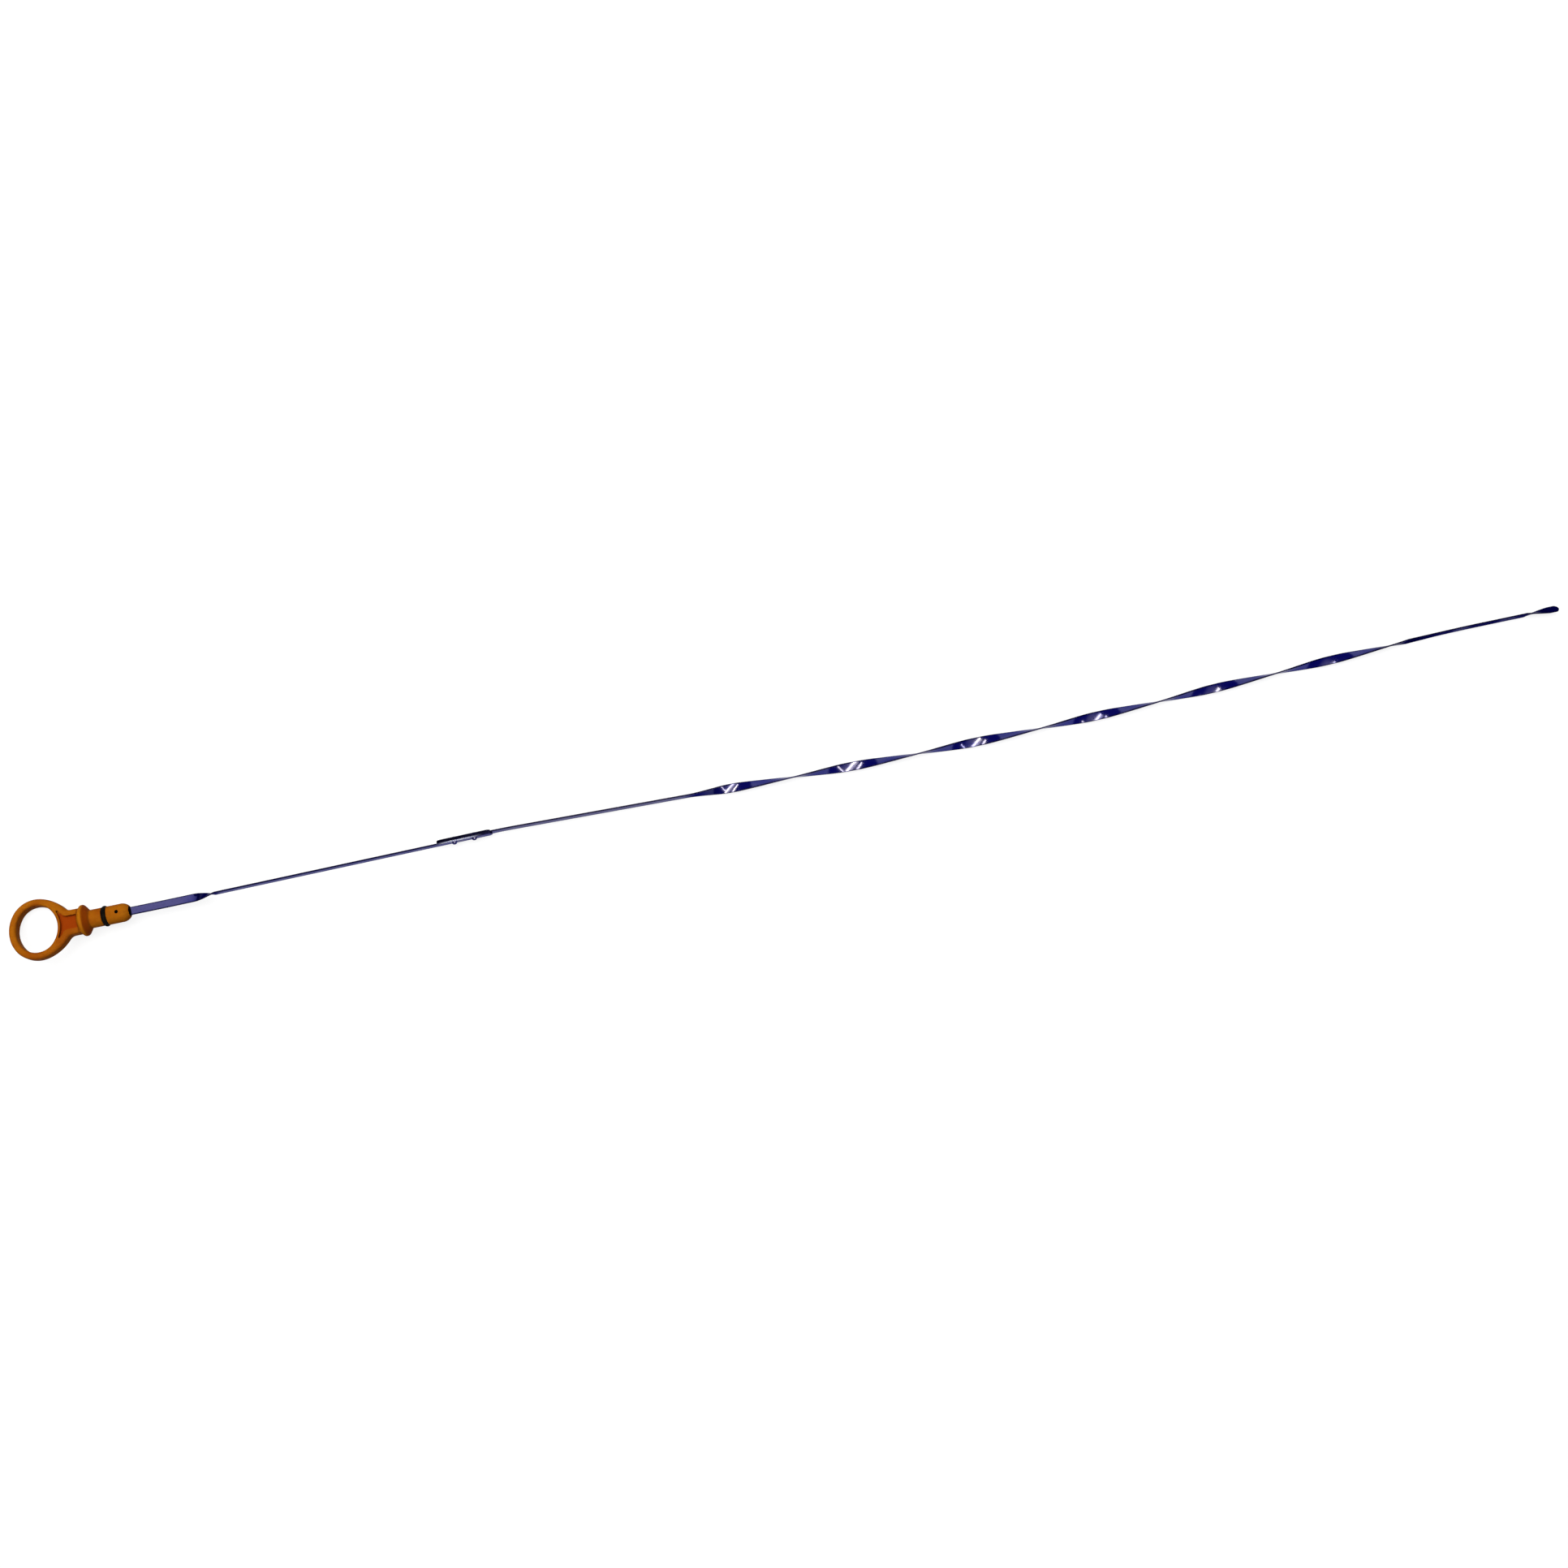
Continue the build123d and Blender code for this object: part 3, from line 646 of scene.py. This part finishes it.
# Room: the height of the backdrop that metal mirrors, and the way to the glow
BACKDROP_TOP = (0.02, 0.10)
GLOW_WAY = (0.10, -0.20, 0.97)
GLOW_SPREAD = (0.82, 0.99)
ROOM_BLUE = (0.045, 0.045, 0.500)
GLOW_PALE = (0.95, 0.85, 0.85)
PLAIN_FILL = (0.22, 0.22, 0.22)

# Lamps: what the ceiling tubes share
TUBE_HEIGHT = 1.0
TUBE_RADIANCE = 36.0
TUBE_TINT = (1.0, 0.88, 0.28)

# Camera: focal length and width of the photograph in pixels, place in metres, turns in degrees
SENSOR_WIDTH = 36.0
PHOTO_FOCAL = 1878.0
PHOTO_WIDTH = 1932.0
CAMERA_PLACE = (0.286442, 0.080079, 0.870427)
CAMERA_TURNS = (-5.5079, -6.7037, -11.6088)


def shown_to(tree):
    """Rays that show the white background: those of the camera, and of metal and glass."""
    seen = add(tree, "ShaderNodeLightPath").outputs
    mirrored = math_node(tree, "MAXIMUM", seen["Is Glossy Ray"], seen["Is Transmission Ray"])
    return math_node(tree, "MAXIMUM", seen["Is Camera Ray"], mirrored)


def floor_finish():
    """Pale floor, white to the camera and to the metal, that keeps the shadow."""
    material, tree, shader = finish_of("pale_floor")
    shader.inputs["Base Color"].default_value = (*FLOOR_GREY, 1.0)
    shader.inputs["Roughness"].default_value = 1.0
    shader.inputs["Specular IOR Level"].default_value = 0.0
    shader.inputs["Emission Color"].default_value = (*WHITE, 1.0)
    away = vector_math(tree, "LENGTH", add(tree, "ShaderNodeTexCoord").outputs["Object"])
    white = soft_ramp(tree, away, *FLOOR_WHITENS, NEAR_WHITE, 1.0)
    tree.links.new(product(tree, shown_to(tree), white), shader.inputs["Emission Strength"])
    return material


floor_z = cad_box[0].z
floor_mesh = bpy.data.meshes.new("floor")
floor_corners = [(x * HALF_FLOOR, y * HALF_FLOOR, floor_z) for x, y in ((-1, -1), (1, -1), (1, 1), (-1, 1))]
floor_mesh.from_pydata(floor_corners, [], [(0, 1, 2, 3)])
floor_mesh.materials.append(floor_finish())
floor = bpy.data.objects.new("floor", floor_mesh)
bpy.context.scene.collection.objects.link(floor)

world = bpy.data.worlds.new("dim_room")
bpy.context.scene.world = world
world.use_nodes = True
room = world.node_tree
way = add(room, "ShaderNodeTexCoord").outputs["Generated"]
glow = soft_ramp(room, vector_math(room, "DOT_PRODUCT", way, GLOW_WAY), *GLOW_SPREAD)
height = add(room, "ShaderNodeSeparateXYZ", {"Vector": way}).outputs["Z"]
from_camera = add(room, "ShaderNodeLightPath").outputs["Is Camera Ray"]
backdrop = math_node(room, "MAXIMUM", soft_ramp(room, height, *BACKDROP_TOP, 1.0, 0.0), from_camera)
shade = mixed(room, glow, ROOM_BLUE, GLOW_PALE)
shade = mixed(room, backdrop, shade, WHITE)
shade = mixed(room, shown_to(room), PLAIN_FILL, shade)
room.links.new(shade, room.nodes["Background"].inputs["Color"])


def area_lamp(name, matrix, size, radiance, tint=WHITE, lights=True, mirrored=True):
    """Flat lamp with a plain brightness for each point of it."""
    data = bpy.data.lights.new(name, "AREA")
    data.shape = "RECTANGLE"
    data.size, data.size_y = size
    data.energy = radiance * math.pi * size[0] * size[1]
    data.color = tint
    made = bpy.data.objects.new(name, data)
    made.matrix_world = matrix
    made.visible_diffuse = lights
    made.visible_glossy = mirrored
    bpy.context.scene.collection.objects.link(made)


def screen(name, place, target, size, radiance, **look):
    """Lamp that faces a target."""
    facing = (Vector(target) - Vector(place)).to_track_quat("-Z", "Y").to_matrix().to_4x4()
    area_lamp(name, Matrix.Translation(place) @ facing, size, radiance, **look)


def ceiling_tube(name, start, end, width, height=TUBE_HEIGHT, radiance=TUBE_RADIANCE):
    """Long lamp that hangs level, for the bars that the turns of the blade show."""
    run = Vector(end) - Vector(start)
    middle = (Vector(start) + Vector(end)) / 2
    turn = Matrix.Rotation(math.atan2(run.y, run.x), 4, "Z")
    area_lamp(name, Matrix.Translation((middle.x, middle.y, height)) @ turn, (run.length, width), radiance,
              tint=TUBE_TINT, lights=False)


screen("soft_overhead", place=(0.05, 0.95, 1.9), target=(0.35, 0.0, 0.0), size=(2.2, 1.2), radiance=5.2,
       mirrored=False)
screen("pale_screen", place=(-0.62, 1.15, 1.25), target=(0.0, 0.0, 0.0), size=(1.1, 1.0), radiance=0.95,
       tint=(1.0, 0.97, 0.85))
ceiling_tube("tube_near", (0.02, -0.83), (1.00, 0.36), width=0.11)
ceiling_tube("tube_far", (0.00, -0.10), (0.80, 0.75), width=0.11)
ceiling_tube("tube_cross", (0.30, -0.68), (1.00, -1.45), width=0.08)
ceiling_tube("reflector", (0.04, -0.75), (0.98, 0.40), width=0.34, height=1.02, radiance=6.0)

# Camera as the photograph was taken, almost straight down
camera_data = bpy.data.cameras.new("photo_camera")
camera_data.sensor_width = SENSOR_WIDTH
camera_data.lens = SENSOR_WIDTH * PHOTO_FOCAL / PHOTO_WIDTH
camera_data.clip_start = 0.01
camera = bpy.data.objects.new("photo_camera", camera_data)
stance = Matrix.Translation(CAMERA_PLACE)
for angle, axis in zip(CAMERA_TURNS, "XYZ"):
    stance = stance @ Matrix.Rotation(math.radians(angle), 4, axis)
camera.matrix_world = stance
bpy.context.scene.collection.objects.link(camera)
bpy.context.scene.camera = camera
bpy.context.scene.view_settings.view_transform = "Standard"
